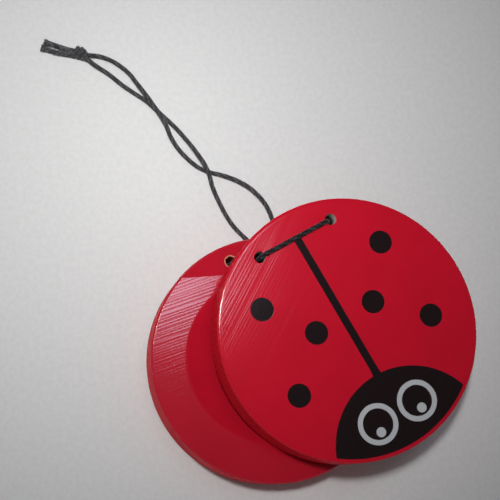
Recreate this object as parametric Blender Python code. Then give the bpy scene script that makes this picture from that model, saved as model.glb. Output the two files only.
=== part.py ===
"""A pair of round wooden castanets laced on one cord, fanned out on a table.

Each shell is a turned disc with a rounded outer edge, a shallow hollow in its playing face,
a bevel on the hinge side and two holes in that bevel. The rear shell lies with its playing
face up, and the front shell lies on it with its playing face down. One cord crosses the front
shell's outer face, goes down through both shells, runs out under the rear shell and ends in a
twisted loop with a knot and two short tails.

Metres, +Z up. The table is at z = 0, the rear shell's hinge side points to +Y, and the origin is
below the middle of the two shells.
"""

import math

import bmesh
import bpy
from mathutils import Matrix, Vector
from mathutils.geometry import interpolate_bezier

# Shells. Both are cut with the same tools, so places are taken from the rear shell's edge.
REAR_RADIUS = 0.0265
FRONT_EXTRA_RADIUS = 0.00125
SHELL_THICKNESS = 0.0100
OUTER_EDGE_ROUND = 0.0012
PLAYING_EDGE_ROUND = 0.0005
RIM_WIDTH = 0.0087
HOLLOW_DEPTH = 0.0030
HOLLOW_LIP_ROUND = 0.0030
REAR_HOLLOW_ASIDE = -0.0010
FRONT_HOLLOW_ASIDE = 0.0
BEVEL_WIDTH = 0.00795
BEVEL_ANGLE = math.radians(15)

# Holes, drilled a little to one side of the middle, as seen on the playing face
HOLE_TO_EDGE = 0.00505
HOLE_SPACING = 0.0174
REAR_HOLES_ASIDE = 0.00138
FRONT_HOLES_ASIDE = 0.00056
FRONT_HOLES_NEARER_EDGE = 0.0004

# Cord
CORD_DIAMETER = 0.0009
HOLE_PLAY = 0.00075
CLEARANCE = 0.0003
LINK_REACH = 0.0024
BEND_SHARE = 1.5
BEND_ROOM_SHARE = 0.45

# How the front shell lies on the rear one: swung, and slid in the playing plane
FAN_ANGLE = math.radians(23.9)
FRONT_SLID_RIGHT = 0.01418
FRONT_SLID_UP = 0.00389

# Knot
KNOT_X = -0.0427
KNOT_Y = 0.0711
KNOT_LENGTH = 0.0026
KNOT_WIDTH = 0.0036
KNOT_HEIGHT = 0.0022
KNOT_TURN = math.radians(-16)

# Cord routes on the table: x, y, and the lift above lying flat as a share of one crossing
STRAND_A_ROUTE = [
    (-0.00157, 0.02450, 0.0), (-0.00247, 0.02750, 0.0), (-0.00287, 0.03010, 0.0),
    (-0.00327, 0.03170, 0.1), (-0.00407, 0.03370, 0.2), (-0.00567, 0.03580, 0.4),
    (-0.00707, 0.03700, 0.5), (-0.00867, 0.03860, 0.5), (-0.01067, 0.04000, 0.4),
    (-0.01357, 0.04110, 0.1), (-0.01637, 0.04200, 0.0), (-0.01807, 0.04290, 0.0),
    (-0.02047, 0.04490, 0.0), (-0.02247, 0.04720, 0.1), (-0.02397, 0.04990, 0.4),
    (-0.02517, 0.05340, 0.9), (-0.02607, 0.05530, 1.0), (-0.02727, 0.05760, 1.0),
    (-0.02857, 0.05990, 1.0), (-0.03047, 0.06310, 0.5), (-0.03207, 0.06580, 0.1),
    (-0.03377, 0.06740, 0.0), (-0.03577, 0.06900, 0.0), (-0.03847, 0.07040, 0.2),
    (-0.04113, 0.07076, 0.5),
]
STRAND_B_ROUTE = [
    (-0.00827, 0.02450, 0.0), (-0.00957, 0.02600, 0.0), (-0.01127, 0.02800, 0.0),
    (-0.01287, 0.03030, 0.0), (-0.01427, 0.03410, 0.2), (-0.01577, 0.03790, 0.6),
    (-0.01647, 0.04130, 1.0), (-0.01727, 0.04390, 1.0), (-0.01837, 0.04620, 0.7),
    (-0.02007, 0.04900, 0.2), (-0.02267, 0.05230, 0.0), (-0.02497, 0.05490, 0.0),
    (-0.02727, 0.05760, 0.0), (-0.02857, 0.05900, 0.0), (-0.03137, 0.06100, 0.0),
    (-0.03407, 0.06320, 0.0), (-0.03667, 0.06570, 0.0), (-0.03947, 0.06780, 0.2),
    (-0.04172, 0.06968, 0.5),
]
TAIL_A_ROUTE = [
    (-0.04418, 0.07173, 0.5), (-0.04577, 0.07210, 0.1),
    (-0.04753, 0.07256, 0.0), (-0.05063, 0.07451, 0.0),
]
TAIL_B_ROUTE = [
    (-0.04435, 0.07053, 0.5), (-0.04597, 0.07088, 0.1),
    (-0.04762, 0.07126, 0.0), (-0.05145, 0.07240, 0.0),
]
UNDER_RIGHT_VIA = [(0.00103, 0.02140, 0.0)]
UNDER_LEFT_VIA = [
    (-0.01317, 0.01930, 0.0), (-0.01137, 0.01960, 0.0), (-0.00957, 0.02020, 0.0),
    (-0.00827, 0.02130, 0.0), (-0.00767, 0.02280, 0.0),
]

# Fineness of the faceted solids
SHELL_SIDES = 72
HOLE_SIDES = 20
ROUND_STEPS = 4
LIP_STEPS = 3
DISH_STEPS = 6
FACE_RING_SHARE = 0.5
BEND_STEPS = 3
KNOT_SIDES = 16
CURVE_SAMPLES = 24
CORD_BEVEL_RESOLUTION = 2
LOOSE_STEP_SHARE = 2.6
LACED_STEP_SHARE = 1.0
MERGE_DISTANCE = 1e-6
SHARP_ANGLE = math.radians(30)

# Colours and gloss
LACQUER_RED = (0.445, 0.0065, 0.0185, 1.0)
LACQUER_ROUGHNESS = 0.32
CORD_BLACK = (0.018, 0.018, 0.020, 1.0)
CORD_ROUGHNESS = 0.85

# Sizes that follow from those above
FRONT_RADIUS = REAR_RADIUS + FRONT_EXTRA_RADIUS
HOLLOW_RADIUS = REAR_RADIUS - RIM_WIDTH
BEVEL_LINE = REAR_RADIUS - BEVEL_WIDTH
REAR_HOLE_LINE = REAR_RADIUS - HOLE_TO_EDGE
FRONT_HOLE_LINE = REAR_HOLE_LINE + FRONT_HOLES_NEARER_EDGE
CORD_RADIUS = CORD_DIAMETER / 2
HOLE_RADIUS = CORD_RADIUS + HOLE_PLAY
CORD_BEND = CORD_DIAMETER * BEND_SHARE
CROSSING_LIFT = CORD_DIAMETER + CLEARANCE
FRONT_FACE_HEIGHT = 2 * SHELL_THICKNESS + CLEARANCE
CUT_OVERRUN = SHELL_THICKNESS

# The cord under the rear shell holds up its hinge side, so both shells lean by this angle
LEAN = math.asin((CORD_DIAMETER + CLEARANCE) / (REAR_RADIUS - OUTER_EDGE_ROUND + REAR_HOLE_LINE))

UP = Vector((0.0, 0.0, 1.0))


def stack_matrix():
    """Return where the pair stands: at the middle of the rear shell's outer face, leaning."""
    sine = math.sin(LEAN)
    cosine = math.cos(LEAN)
    right = FRONT_SLID_RIGHT + FRONT_RADIUS
    near = -REAR_RADIUS * cosine - SHELL_THICKNESS * sine
    far = (FRONT_SLID_UP + FRONT_RADIUS) * cosine - (SHELL_THICKNESS + CLEARANCE) * sine
    height = (REAR_RADIUS - OUTER_EDGE_ROUND) * sine + OUTER_EDGE_ROUND * (1 - cosine)
    middle = Vector(((REAR_RADIUS - right) / 2, -(near + far) / 2, height))
    return Matrix.Translation(middle) @ Matrix.Rotation(LEAN, 4, "X")


STACK = stack_matrix()
FRONT_IN_STACK = (
    Matrix.Translation((FRONT_SLID_RIGHT, FRONT_SLID_UP, FRONT_FACE_HEIGHT))
    @ Matrix.Rotation(FAN_ANGLE, 4, "Z")
    @ Matrix.Rotation(math.pi, 4, "Y")
)


def playing_height(y):
    """Return the playing surface's height over the outer face at y, on the rim or the bevel."""
    return SHELL_THICKNESS - max(0.0, y - BEVEL_LINE) * math.tan(BEVEL_ANGLE)


def hole_mouths(side):
    """Return a hole's mouths on the front and the rear playing face, in the pair's frame.

    The side is -1 for the left pair of holes and 1 for the right pair, as seen from above.
    """
    rear_x = REAR_HOLES_ASIDE + side * HOLE_SPACING / 2
    front_x = FRONT_HOLES_ASIDE - side * HOLE_SPACING / 2
    front = FRONT_IN_STACK @ Vector((front_x, FRONT_HOLE_LINE, playing_height(FRONT_HOLE_LINE)))
    return front, Vector((rear_x, REAR_HOLE_LINE, playing_height(REAR_HOLE_LINE)))


def between_shells(point):
    """Return the point of the pair's frame that lies midway between the two playing surfaces."""
    front_y = (FRONT_IN_STACK.inverted() @ point).y
    above = FRONT_FACE_HEIGHT - playing_height(front_y)
    below = playing_height(point.y)
    return Vector((point.x, point.y, (above + below) / 2))


def fan_pivot():
    """Return the point that stays put while the front shell swings to lie right over the rear one."""
    slid = Vector((FRONT_SLID_RIGHT, FRONT_SLID_UP, 0.0))
    across = Vector((-slid.y, slid.x, 0.0))
    return slid / 2 + across / (2 * math.tan(FAN_ANGLE / 2)) + UP * SHELL_THICKNESS


def arc(centre_r, centre_z, radius, start_degrees, end_degrees, steps):
    """Return the points of an arc in the turning plane, with the angle measured from +r to +z."""
    points = []
    for step in range(steps + 1):
        angle = math.radians(start_degrees + (end_degrees - start_degrees) * step / steps)
        r = centre_r + radius * math.cos(angle)
        z = centre_z + radius * math.sin(angle)
        points.append((r, z))
    return points


def disc_profile(radius):
    """Return the outline of a shell before its cuts, from the outer face's middle to the other's."""
    playing_round_height = SHELL_THICKNESS - PLAYING_EDGE_ROUND
    points = [(0.0, 0.0), (radius * FACE_RING_SHARE, 0.0)]
    points += arc(radius - OUTER_EDGE_ROUND, OUTER_EDGE_ROUND, OUTER_EDGE_ROUND, -90, 0, ROUND_STEPS)
    points += arc(radius - PLAYING_EDGE_ROUND, playing_round_height, PLAYING_EDGE_ROUND, 0, 90, ROUND_STEPS)
    points.append((0.0, SHELL_THICKNESS))
    return points


def hollow_profile():
    """Return the outline of the hollow's cutter: a round dish whose lip is rounded over."""
    dish_radius = (HOLLOW_RADIUS**2 + HOLLOW_DEPTH**2) / (2 * HOLLOW_DEPTH)
    dish_centre = SHELL_THICKNESS - HOLLOW_DEPTH + dish_radius
    lip_centre_z = SHELL_THICKNESS - HOLLOW_LIP_ROUND
    reach = dish_radius + HOLLOW_LIP_ROUND
    lip_centre_r = math.sqrt(reach**2 - (dish_centre - lip_centre_z) ** 2)
    lean = math.degrees(math.atan2(lip_centre_r, dish_centre - lip_centre_z))
    points = arc(0.0, dish_centre, dish_radius, -90, -90 + lean, DISH_STEPS)
    lip = arc(lip_centre_r, lip_centre_z, HOLLOW_LIP_ROUND, 90 + lean, 90, LIP_STEPS)
    points += lip[1:]
    points.append((lip_centre_r, SHELL_THICKNESS + CUT_OVERRUN))
    points.append((0.0, SHELL_THICKNESS + CUT_OVERRUN))
    return points


def turned_mesh(name, profile, sides):
    """Return a closed mesh made by turning an outline of (r, z) points about Z."""
    shape = bmesh.new()
    rim = [shape.verts.new((r, 0.0, z)) for r, z in profile]
    edges = [shape.edges.new(pair) for pair in zip(rim, rim[1:])]
    bmesh.ops.spin(
        shape, geom=rim + edges, cent=(0, 0, 0), axis=(0, 0, 1), angle=math.tau, steps=sides, use_merge=True
    )
    bmesh.ops.remove_doubles(shape, verts=shape.verts, dist=MERGE_DISTANCE)
    bmesh.ops.recalc_face_normals(shape, faces=shape.faces)
    return mesh_from(name, shape)


def mesh_from(name, shape):
    """Return a mesh holding a bmesh, shaded smooth up to its sharp edges."""
    mesh = bpy.data.meshes.new(name)
    shape.to_mesh(mesh)
    shape.free()
    mesh.shade_smooth()
    mesh.set_sharp_from_angle(angle=SHARP_ANGLE)
    return mesh


def make_finish(name, colour, roughness):
    """Return a Principled material of one piece's own."""
    material = bpy.data.materials.new(name + "_finish")
    material.use_nodes = True
    shader = material.node_tree.nodes["Principled BSDF"]
    shader.inputs["Base Color"].default_value = colour
    shader.inputs["Roughness"].default_value = roughness
    shader.inputs["Metallic"].default_value = 0.0
    return material


def world_of(piece):
    """Return a piece's world matrix, worked out through its parents."""
    if piece.parent is None:
        return piece.matrix_basis.copy()
    return world_of(piece.parent) @ piece.matrix_parent_inverse @ piece.matrix_basis


def add_piece(name, data, world, parent):
    """Add an object, or an empty where there is no data, at a world matrix and under a parent."""
    piece = bpy.data.objects.new(name, data)
    bpy.context.scene.collection.objects.link(piece)
    piece.matrix_basis = world
    if parent is not None:
        piece.parent = parent
        piece.matrix_parent_inverse = world_of(parent).inverted()
    return piece


def add_cut(shell, name, mesh):
    """Cut a shape, given in the shell's own frame, out of the shell."""
    cutter = add_piece(f"{shell.name}_{name}_cutter", mesh, world_of(shell), shell)
    cutter.hide_render = True
    cutter.display_type = "WIRE"
    boolean = shell.modifiers.new(name, "BOOLEAN")
    boolean.operation = "DIFFERENCE"
    boolean.solver = "EXACT"
    boolean.object = cutter


def bevel_cut_mesh(radius):
    """Return the block whose underside is the bevel's plane, in the shell's own frame."""
    shape = bmesh.new()
    bmesh.ops.create_cube(shape, size=1.0)
    width = 2 * (radius + CUT_OVERRUN)
    length = 2 * (radius - BEVEL_LINE + CUT_OVERRUN)
    seat = Matrix.Translation((0.0, BEVEL_LINE, SHELL_THICKNESS)) @ Matrix.Rotation(-BEVEL_ANGLE, 4, "X")
    lift = Matrix.Translation((0.0, 0.0, CUT_OVERRUN / 2))
    size = Matrix.Diagonal((width, length, CUT_OVERRUN, 1.0))
    bmesh.ops.transform(shape, matrix=seat @ lift @ size, verts=shape.verts)
    return mesh_from("bevel_cut", shape)


def hole_cut_mesh(x, y):
    """Return the drill that makes one hole at x and y, in the shell's own frame."""
    shape = bmesh.new()
    bmesh.ops.create_cone(
        shape,
        cap_ends=True,
        segments=HOLE_SIDES,
        radius1=HOLE_RADIUS,
        radius2=HOLE_RADIUS,
        depth=SHELL_THICKNESS + 2 * CUT_OVERRUN,
        matrix=Matrix.Translation((x, y, SHELL_THICKNESS / 2)),
    )
    return mesh_from("hole_cut", shape)


def add_shell(name, radius, holes_aside, hole_line, hollow_aside, world, parent):
    """Add one shell: a turned disc, dished, bevelled and drilled."""
    mesh = turned_mesh(name, disc_profile(radius), SHELL_SIDES)
    mesh.materials.append(make_finish(name, LACQUER_RED, LACQUER_ROUGHNESS))
    shell = add_piece(name, mesh, world, parent)
    hollow = turned_mesh("hollow_cut", hollow_profile(), SHELL_SIDES)
    hollow.transform(Matrix.Translation((hollow_aside, 0.0, 0.0)))
    add_cut(shell, "hollow", hollow)
    add_cut(shell, "bevel", bevel_cut_mesh(radius))
    for label, side in (("left_hole", -1), ("right_hole", 1)):
        add_cut(shell, label, hole_cut_mesh(holes_aside + side * HOLE_SPACING / 2, hole_line))


def route_direction(before, here, after):
    """Return the smooth curve's direction at one of its route points."""
    into = here - before
    out = after - here
    if into.length == 0.0:
        return out.normalized()
    if out.length == 0.0:
        return into.normalized()
    return (into.normalized() * out.length + out.normalized() * into.length) / (into.length + out.length)


def smooth_route(points, apart):
    """Return evenly spaced points on one smooth curve through the route's own points.

    No point comes lower than where the cord lies on the table.
    """
    ends = [points[0]] + points + [points[-1]]
    curve = [points[0]]
    for before, start, end, after in zip(ends, ends[1:], ends[2:], ends[3:]):
        third = (end - start).length / 3
        leave = start + route_direction(before, start, end) * third
        arrive = end - route_direction(start, end, after) * third
        curve += interpolate_bezier(start, leave, arrive, end, CURVE_SAMPLES)[1:]
    lengths = [0.0]
    for a, b in zip(curve, curve[1:]):
        lengths.append(lengths[-1] + (b - a).length)
    count = max(2, round(lengths[-1] / apart))
    even = []
    index = 0
    for step in range(count + 1):
        target = lengths[-1] * step / count
        while index < len(curve) - 2 and lengths[index + 1] < target:
            index += 1
        share = (target - lengths[index]) / (lengths[index + 1] - lengths[index])
        point = curve[index].lerp(curve[index + 1], share)
        point.z = max(point.z, CORD_RADIUS)
        even.append(point)
    return even


def add_cord(name, route, step_share, parent):
    """Add one stretch of the cord as a round tube along a smooth curve through its route."""
    curve = bpy.data.curves.new(name, "CURVE")
    curve.dimensions = "3D"
    curve.bevel_depth = CORD_RADIUS
    curve.bevel_resolution = CORD_BEVEL_RESOLUTION
    curve.use_fill_caps = True
    points = smooth_route(route, CORD_DIAMETER * step_share)
    spline = curve.splines.new("POLY")
    spline.points.add(len(points) - 1)
    for place, point in zip(spline.points, points):
        place.co = (point.x, point.y, point.z, 1.0)
    curve.materials.append(make_finish(name, CORD_BLACK, CORD_ROUGHNESS))
    add_piece(name, curve, Matrix.Identity(4), parent)


def on_table(route):
    """Return a table route's points in the world."""
    return [Vector((x, y, CORD_RADIUS + lift * CROSSING_LIFT)) for x, y, lift in route]


def bend_into_hole(corner, along, into, radius):
    """Return a quarter bend's route points, from the run along one way to the hole's way in."""
    centre = corner + (along + into) * radius
    points = []
    for step in range(BEND_STEPS + 1):
        angle = math.pi / 2 * step / BEND_STEPS
        points.append(centre - (into * math.cos(angle) + along * math.sin(angle)) * radius)
    return points


def bridge_route():
    """Return the route over the front shell's outer face, from arm to arm, in the world."""
    arms = []
    for side in (-1, 1):
        mouth, _ = hole_mouths(side)
        corner = Vector((mouth.x, mouth.y, FRONT_FACE_HEIGHT + CLEARANCE + CORD_RADIUS))
        arms.append((corner, mouth + UP * (LINK_REACH + CLEARANCE)))
    (left_corner, left_end), (right_corner, right_end) = arms
    across = (right_corner - left_corner).normalized()
    left = bend_into_hole(left_corner, across, -UP, CORD_BEND)
    right = bend_into_hole(right_corner, -across, -UP, CORD_BEND)
    run = [left[0] + across * CORD_DIAMETER, right[0] - across * CORD_DIAMETER]
    return [STACK @ point for point in [left_end] + left[::-1] + run + right + [right_end]]


def link_route(side):
    """Return the route from a front hole to the rear hole of the same side, in the world."""
    front, rear = hole_mouths(side)
    front_corner = between_shells(front)
    rear_corner = between_shells(rear)
    span = rear_corner - front_corner
    across = span.normalized()
    radius = min(CORD_BEND, span.length * BEND_ROOM_SHARE)
    leave = bend_into_hole(front_corner, across, UP, radius)
    arrive = bend_into_hole(rear_corner, -across, -UP, radius)
    points = [front + UP * LINK_REACH] + leave[::-1] + arrive + [rear - UP * LINK_REACH]
    return [STACK @ point for point in points]


def under_route(side, via, strand_route):
    """Return the route from a rear hole, out under the rear shell, to where a strand starts."""
    _, mouth = hole_mouths(side)
    lean = (STACK.to_3x3() @ UP).normalized()
    top = STACK @ (mouth - UP * (LINK_REACH + CLEARANCE))
    corner = top - lean * ((top.z - CORD_RADIUS) / lean.z)
    run = on_table(via)
    along = run[0] - corner
    along.z = 0.0
    strand = on_table(strand_route)
    outward = (strand[0] - strand[1]).normalized()
    meeting = strand[0] + outward * CLEARANCE
    bend = bend_into_hole(corner, along.normalized(), lean, CORD_BEND)
    return [top] + bend[::-1] + run + [meeting + outward * CORD_DIAMETER, meeting]


def add_knot(parent):
    """Add the knot as a rounded lump that stands on the table."""
    shape = bmesh.new()
    bmesh.ops.create_uvsphere(shape, u_segments=KNOT_SIDES, v_segments=KNOT_SIDES // 2, radius=1.0)
    size = Matrix.Diagonal((KNOT_LENGTH / 2, KNOT_WIDTH / 2, KNOT_HEIGHT / 2, 1.0))
    bmesh.ops.transform(shape, matrix=size, verts=shape.verts)
    mesh = mesh_from("cord_knot", shape)
    mesh.materials.append(make_finish("cord_knot", CORD_BLACK, CORD_ROUGHNESS))
    place = Matrix.Translation((KNOT_X, KNOT_Y, KNOT_HEIGHT / 2)) @ Matrix.Rotation(KNOT_TURN, 4, "Z")
    add_piece("cord_knot", mesh, place, parent)


def add_axes():
    """Add the empties that carry the pieces: the pair's stand, the swivel and the hinge."""
    stand = add_piece("pair_stand", None, STACK, None)
    swivel = add_piece("fan_swivel_axis", None, STACK @ Matrix.Translation(fan_pivot()), stand)
    left, _ = hole_mouths(-1)
    right, _ = hole_mouths(1)
    line = Matrix.Translation((left + right) / 2) @ Matrix.Rotation(FAN_ANGLE, 4, "Z")
    hinge = add_piece("clap_hinge_axis", None, STACK @ line, swivel)
    return stand, swivel, hinge


def main():
    """Build the castanets in an empty scene."""
    for leftover in list(bpy.data.objects):
        bpy.data.objects.remove(leftover, do_unlink=True)
    stand, swivel, hinge = add_axes()
    rear_holes = (REAR_HOLES_ASIDE, REAR_HOLE_LINE)
    front_holes = (FRONT_HOLES_ASIDE, FRONT_HOLE_LINE)
    add_shell("rear_shell", REAR_RADIUS, *rear_holes, REAR_HOLLOW_ASIDE, STACK, stand)
    add_shell("front_shell", FRONT_RADIUS, *front_holes, FRONT_HOLLOW_ASIDE, STACK @ FRONT_IN_STACK, hinge)
    add_cord("cord_front_bridge", bridge_route(), LACED_STEP_SHARE, hinge)
    add_cord("cord_link_left", link_route(-1), LACED_STEP_SHARE, swivel)
    add_cord("cord_link_right", link_route(1), LACED_STEP_SHARE, swivel)
    left_under = under_route(-1, UNDER_LEFT_VIA, STRAND_B_ROUTE)
    right_under = under_route(1, UNDER_RIGHT_VIA, STRAND_A_ROUTE)
    add_cord("cord_rear_left", left_under, LACED_STEP_SHARE, stand)
    add_cord("cord_rear_right", right_under, LACED_STEP_SHARE, stand)
    add_cord("cord_strand_a", on_table(STRAND_A_ROUTE), LOOSE_STEP_SHARE, stand)
    add_cord("cord_strand_b", on_table(STRAND_B_ROUTE), LOOSE_STEP_SHARE, stand)
    add_cord("cord_tail_a", on_table(TAIL_A_ROUTE), LOOSE_STEP_SHARE, stand)
    add_cord("cord_tail_b", on_table(TAIL_B_ROUTE), LOOSE_STEP_SHARE, stand)
    add_knot(stand)


main()
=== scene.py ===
"""A pair of lacquered wooden castanets laced on one braided cord, dressed over its CAD frame.

The front shell carries a printed ladybird and lies fanned out on the rear shell. The cord crosses
the front shell, goes down through both shells and lies on the table as a twisted loop that ends
in a knot. Lengths are in millimetres and become metres when a piece is built. Only the studio, its
lights and the loom's own inputs are in metres.
"""

import logging
import math
from collections.abc import Callable
from dataclasses import dataclass
from enum import Enum

import bpy
from bpy.types import Material, Node, NodeSocket, NodeTree, Object
from mathutils import Matrix, Vector
from mathutils.geometry import delaunay_2d_cdt, interpolate_bezier

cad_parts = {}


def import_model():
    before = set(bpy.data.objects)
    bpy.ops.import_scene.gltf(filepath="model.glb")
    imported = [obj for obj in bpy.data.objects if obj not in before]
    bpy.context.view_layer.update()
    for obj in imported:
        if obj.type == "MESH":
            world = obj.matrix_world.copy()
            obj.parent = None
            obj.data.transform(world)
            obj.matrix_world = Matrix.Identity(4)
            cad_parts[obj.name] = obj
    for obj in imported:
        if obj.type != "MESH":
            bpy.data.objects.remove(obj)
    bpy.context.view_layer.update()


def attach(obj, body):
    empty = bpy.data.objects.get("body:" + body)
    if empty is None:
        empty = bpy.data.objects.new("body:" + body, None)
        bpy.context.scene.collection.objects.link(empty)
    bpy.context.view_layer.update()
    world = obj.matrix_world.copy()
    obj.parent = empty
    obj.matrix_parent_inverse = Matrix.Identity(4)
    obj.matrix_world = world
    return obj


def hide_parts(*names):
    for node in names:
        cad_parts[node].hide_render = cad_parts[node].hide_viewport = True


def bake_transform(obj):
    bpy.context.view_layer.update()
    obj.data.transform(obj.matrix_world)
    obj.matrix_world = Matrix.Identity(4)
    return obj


LOG = logging.getLogger("castanets")
MM = 0.001
Colour = tuple[float, float, float, float]
Spot = tuple[float, float]
Place = tuple[float, float, float]
Ring = tuple[float, float, float, list[float]]
UP = Vector((0.0, 0.0, 1.0))

# The pair's stand, as in the CAD model: the rear shell's outer face is at its origin
LEAN = 0.0256713
STAND = Matrix.Translation((-7.715, -2.309, 0.65)) @ Matrix.Rotation(LEAN, 4, "X")
FRONT_LIFT = 20.3
FRONT_IN_STAND = (
    Matrix.Translation((14.18, 3.89, FRONT_LIFT))
    @ Matrix.Rotation(math.radians(23.9), 4, "Z")
    @ Matrix.Rotation(math.pi, 4, "Y")
)
REAR_HOLE_LINE = 21.45
FRONT_HOLE_LINE = 21.85
HOLE_SPACING = 17.4
REAR_HOLES_ASIDE = 1.38
FRONT_HOLES_ASIDE = 0.56
CORD_RADIUS = 0.45
CROSSING_LIFT = 1.2

# What both shells have alike
RIDGE_LINE = 18.55
BEVEL_SLOPE = math.tan(math.radians(15))
SHELL_THICKNESS = 10.0


class Side(Enum):
    """The two holes of a shell, as seen from above in the photograph."""

    LEFT = -1
    RIGHT = 1


class Face(Enum):
    """The two faces of a shell."""

    OUTER = "outer"
    PLAYING = "playing"


class NodeBench:
    """A node tree and short ways to add and join its nodes."""

    def __init__(self, tree: NodeTree) -> None:
        """Take a tree to work on.

        Args:
            tree: The shader or geometry node tree.
        """
        self.tree = tree

    def add(self, kind: str, settings: dict[str, object] | None = None, **inputs: object) -> Node:
        """Add a node.

        Args:
            kind: The node's type name.
            settings: Properties of the node, set before its inputs.
            inputs: Values or output sockets for inputs, by name with _ for a space, or i0, i1 by place.

        Returns:
            The new node.
        """
        node = self.tree.nodes.new(kind)
        for name, value in (settings or {}).items():
            setattr(node, name, value)
        for name, value in inputs.items():
            if name[0] == "i" and name[1:].isdigit():
                socket = node.inputs[int(name[1:])]
            else:
                socket = node.inputs[name.replace("_", " ")]
            self.feed(socket, value)
        return node

    def put(self, kind: str, settings: dict[str, object] | None = None, **inputs: object) -> NodeSocket:
        """Add a node and return its first output."""
        return self.add(kind, settings, **inputs).outputs[0]

    def feed(self, socket: NodeSocket, value: object) -> None:
        """Link an output socket to an input, or set the input's own value.

        Args:
            socket: The input.
            value: The output socket or the value.
        """
        if isinstance(value, NodeSocket):
            self.tree.links.new(value, socket)
        else:
            socket.default_value = value

    def math(self, operation: str, *values: object, clamp: bool = False) -> NodeSocket:
        """Add a Math node and return its result."""
        inputs = {f"i{index}": value for index, value in enumerate(values)}
        return self.put("ShaderNodeMath", {"operation": operation, "use_clamp": clamp}, **inputs)

    def vector(self, operation: str, *values: object, output: str = "Vector") -> NodeSocket:
        """Add a Vector Math node and return one of its outputs."""
        inputs = {f"i{index}": value for index, value in enumerate(values)}
        return self.add("ShaderNodeVectorMath", {"operation": operation}, **inputs).outputs[output]

    def ramp(
        self, value: object, low: float, high: float, start: float = 0.0, end: float = 1.0
    ) -> NodeSocket:
        """Map a value smoothly from low..high to start..end.

        Args:
            value: The socket to map.
            low: Where the change begins.
            high: Where the change ends.
            start: The result at low.
            end: The result at high.

        Returns:
            The mapped value.
        """
        settings = {"interpolation_type": "SMOOTHSTEP", "clamp": True}
        return self.put("ShaderNodeMapRange", settings, i0=value, i1=low, i2=high, i3=start, i4=end)

    def mix(self, share: object, first: object, second: object) -> NodeSocket:
        """Mix two colours by a share and return the colour."""
        node = self.add("ShaderNodeMix", {"data_type": "RGBA"}, Factor=share, A=first, B=second)
        return node.outputs["Result"]

    def noise(
        self, place: object, scale: float, detail: float = 2.0, roughness: float = 0.5
    ) -> NodeSocket:
        """Add a noise and return its value from 0 to 1."""
        sizes = {"Scale": scale, "Detail": detail, "Roughness": roughness}
        return self.add("ShaderNodeTexNoise", Vector=place, **sizes).outputs["Fac"]

    def chain(self, operation: str, first: object, *others: object) -> NodeSocket:
        """Apply one operation to several values, from left to right.

        Args:
            operation: The Math node's operation.
            first: The value to begin with.
            others: The values that follow.

        Returns:
            The last result.
        """
        for other in others:
            first = self.math(operation, first, other)
        return first

    def axis(self, place: object, name: str) -> NodeSocket:
        """Return one coordinate of a vector."""
        return self.add("ShaderNodeSeparateXYZ", Vector=place).outputs[name]

    def joined(self, x: object, y: object, z: object) -> NodeSocket:
        """Join three values into a vector."""
        return self.put("ShaderNodeCombineXYZ", X=x, Y=y, Z=z)

    def attribute(self, name: str, output: str) -> NodeSocket:
        """Read an attribute that the mesh carries."""
        return self.add("ShaderNodeAttribute", {"attribute_name": name}).outputs[output]

    def bump(self, shader: Node, height: object, distance: float, strength: float) -> None:
        """Bump a shader's normal by a height whose 1 stands for a distance in metres."""
        node = self.add("ShaderNodeBump", Height=height, Distance=distance, Strength=strength)
        self.feed(shader.inputs["Normal"], node.outputs["Normal"])


def new_group(
    name: str, kind: str, inputs: dict[str, tuple[str, object]], outputs: dict[str, str]
) -> tuple[NodeBench, Node, Node]:
    """Make a node group with named sockets.

    Args:
        name: The group's name.
        kind: ShaderNodeTree or GeometryNodeTree.
        inputs: Input names with their short socket type and default, or None for no default.
        outputs: Output names with their short socket type.

    Returns:
        A bench for the group, its input node and its output node.
    """
    tree = bpy.data.node_groups.new(name, kind)
    for label, (socket_type, default) in inputs.items():
        socket = tree.interface.new_socket(label, in_out="INPUT", socket_type=f"NodeSocket{socket_type}")
        if default is not None:
            socket.default_value = default
    for label, socket_type in outputs.items():
        tree.interface.new_socket(label, in_out="OUTPUT", socket_type=f"NodeSocket{socket_type}")
    bench = NodeBench(tree)
    return bench, bench.add("NodeGroupInput"), bench.add("NodeGroupOutput")


def place_group(bench: NodeBench, group: NodeTree, **inputs: object) -> Node:
    """Place a shader group in a material and feed its inputs by name."""
    return bench.add("ShaderNodeGroup", {"node_tree": group}, **inputs)


def new_material(name: str) -> tuple[Material, NodeBench, Node]:
    """Make a material.

    Args:
        name: The material's name.

    Returns:
        The material, a bench for its nodes and its shader.
    """
    material = bpy.data.materials.new(name)
    material.use_nodes = True
    return material, NodeBench(material.node_tree), material.node_tree.nodes["Principled BSDF"]


def new_object(name: str, data: bpy.types.ID) -> Object:
    """Make an object and put it in the scene.

    Args:
        name: The object's name.
        data: Its mesh, camera or light.

    Returns:
        The object.
    """
    thing = bpy.data.objects.new(name, data)
    bpy.context.scene.collection.objects.link(thing)
    return thing


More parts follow.
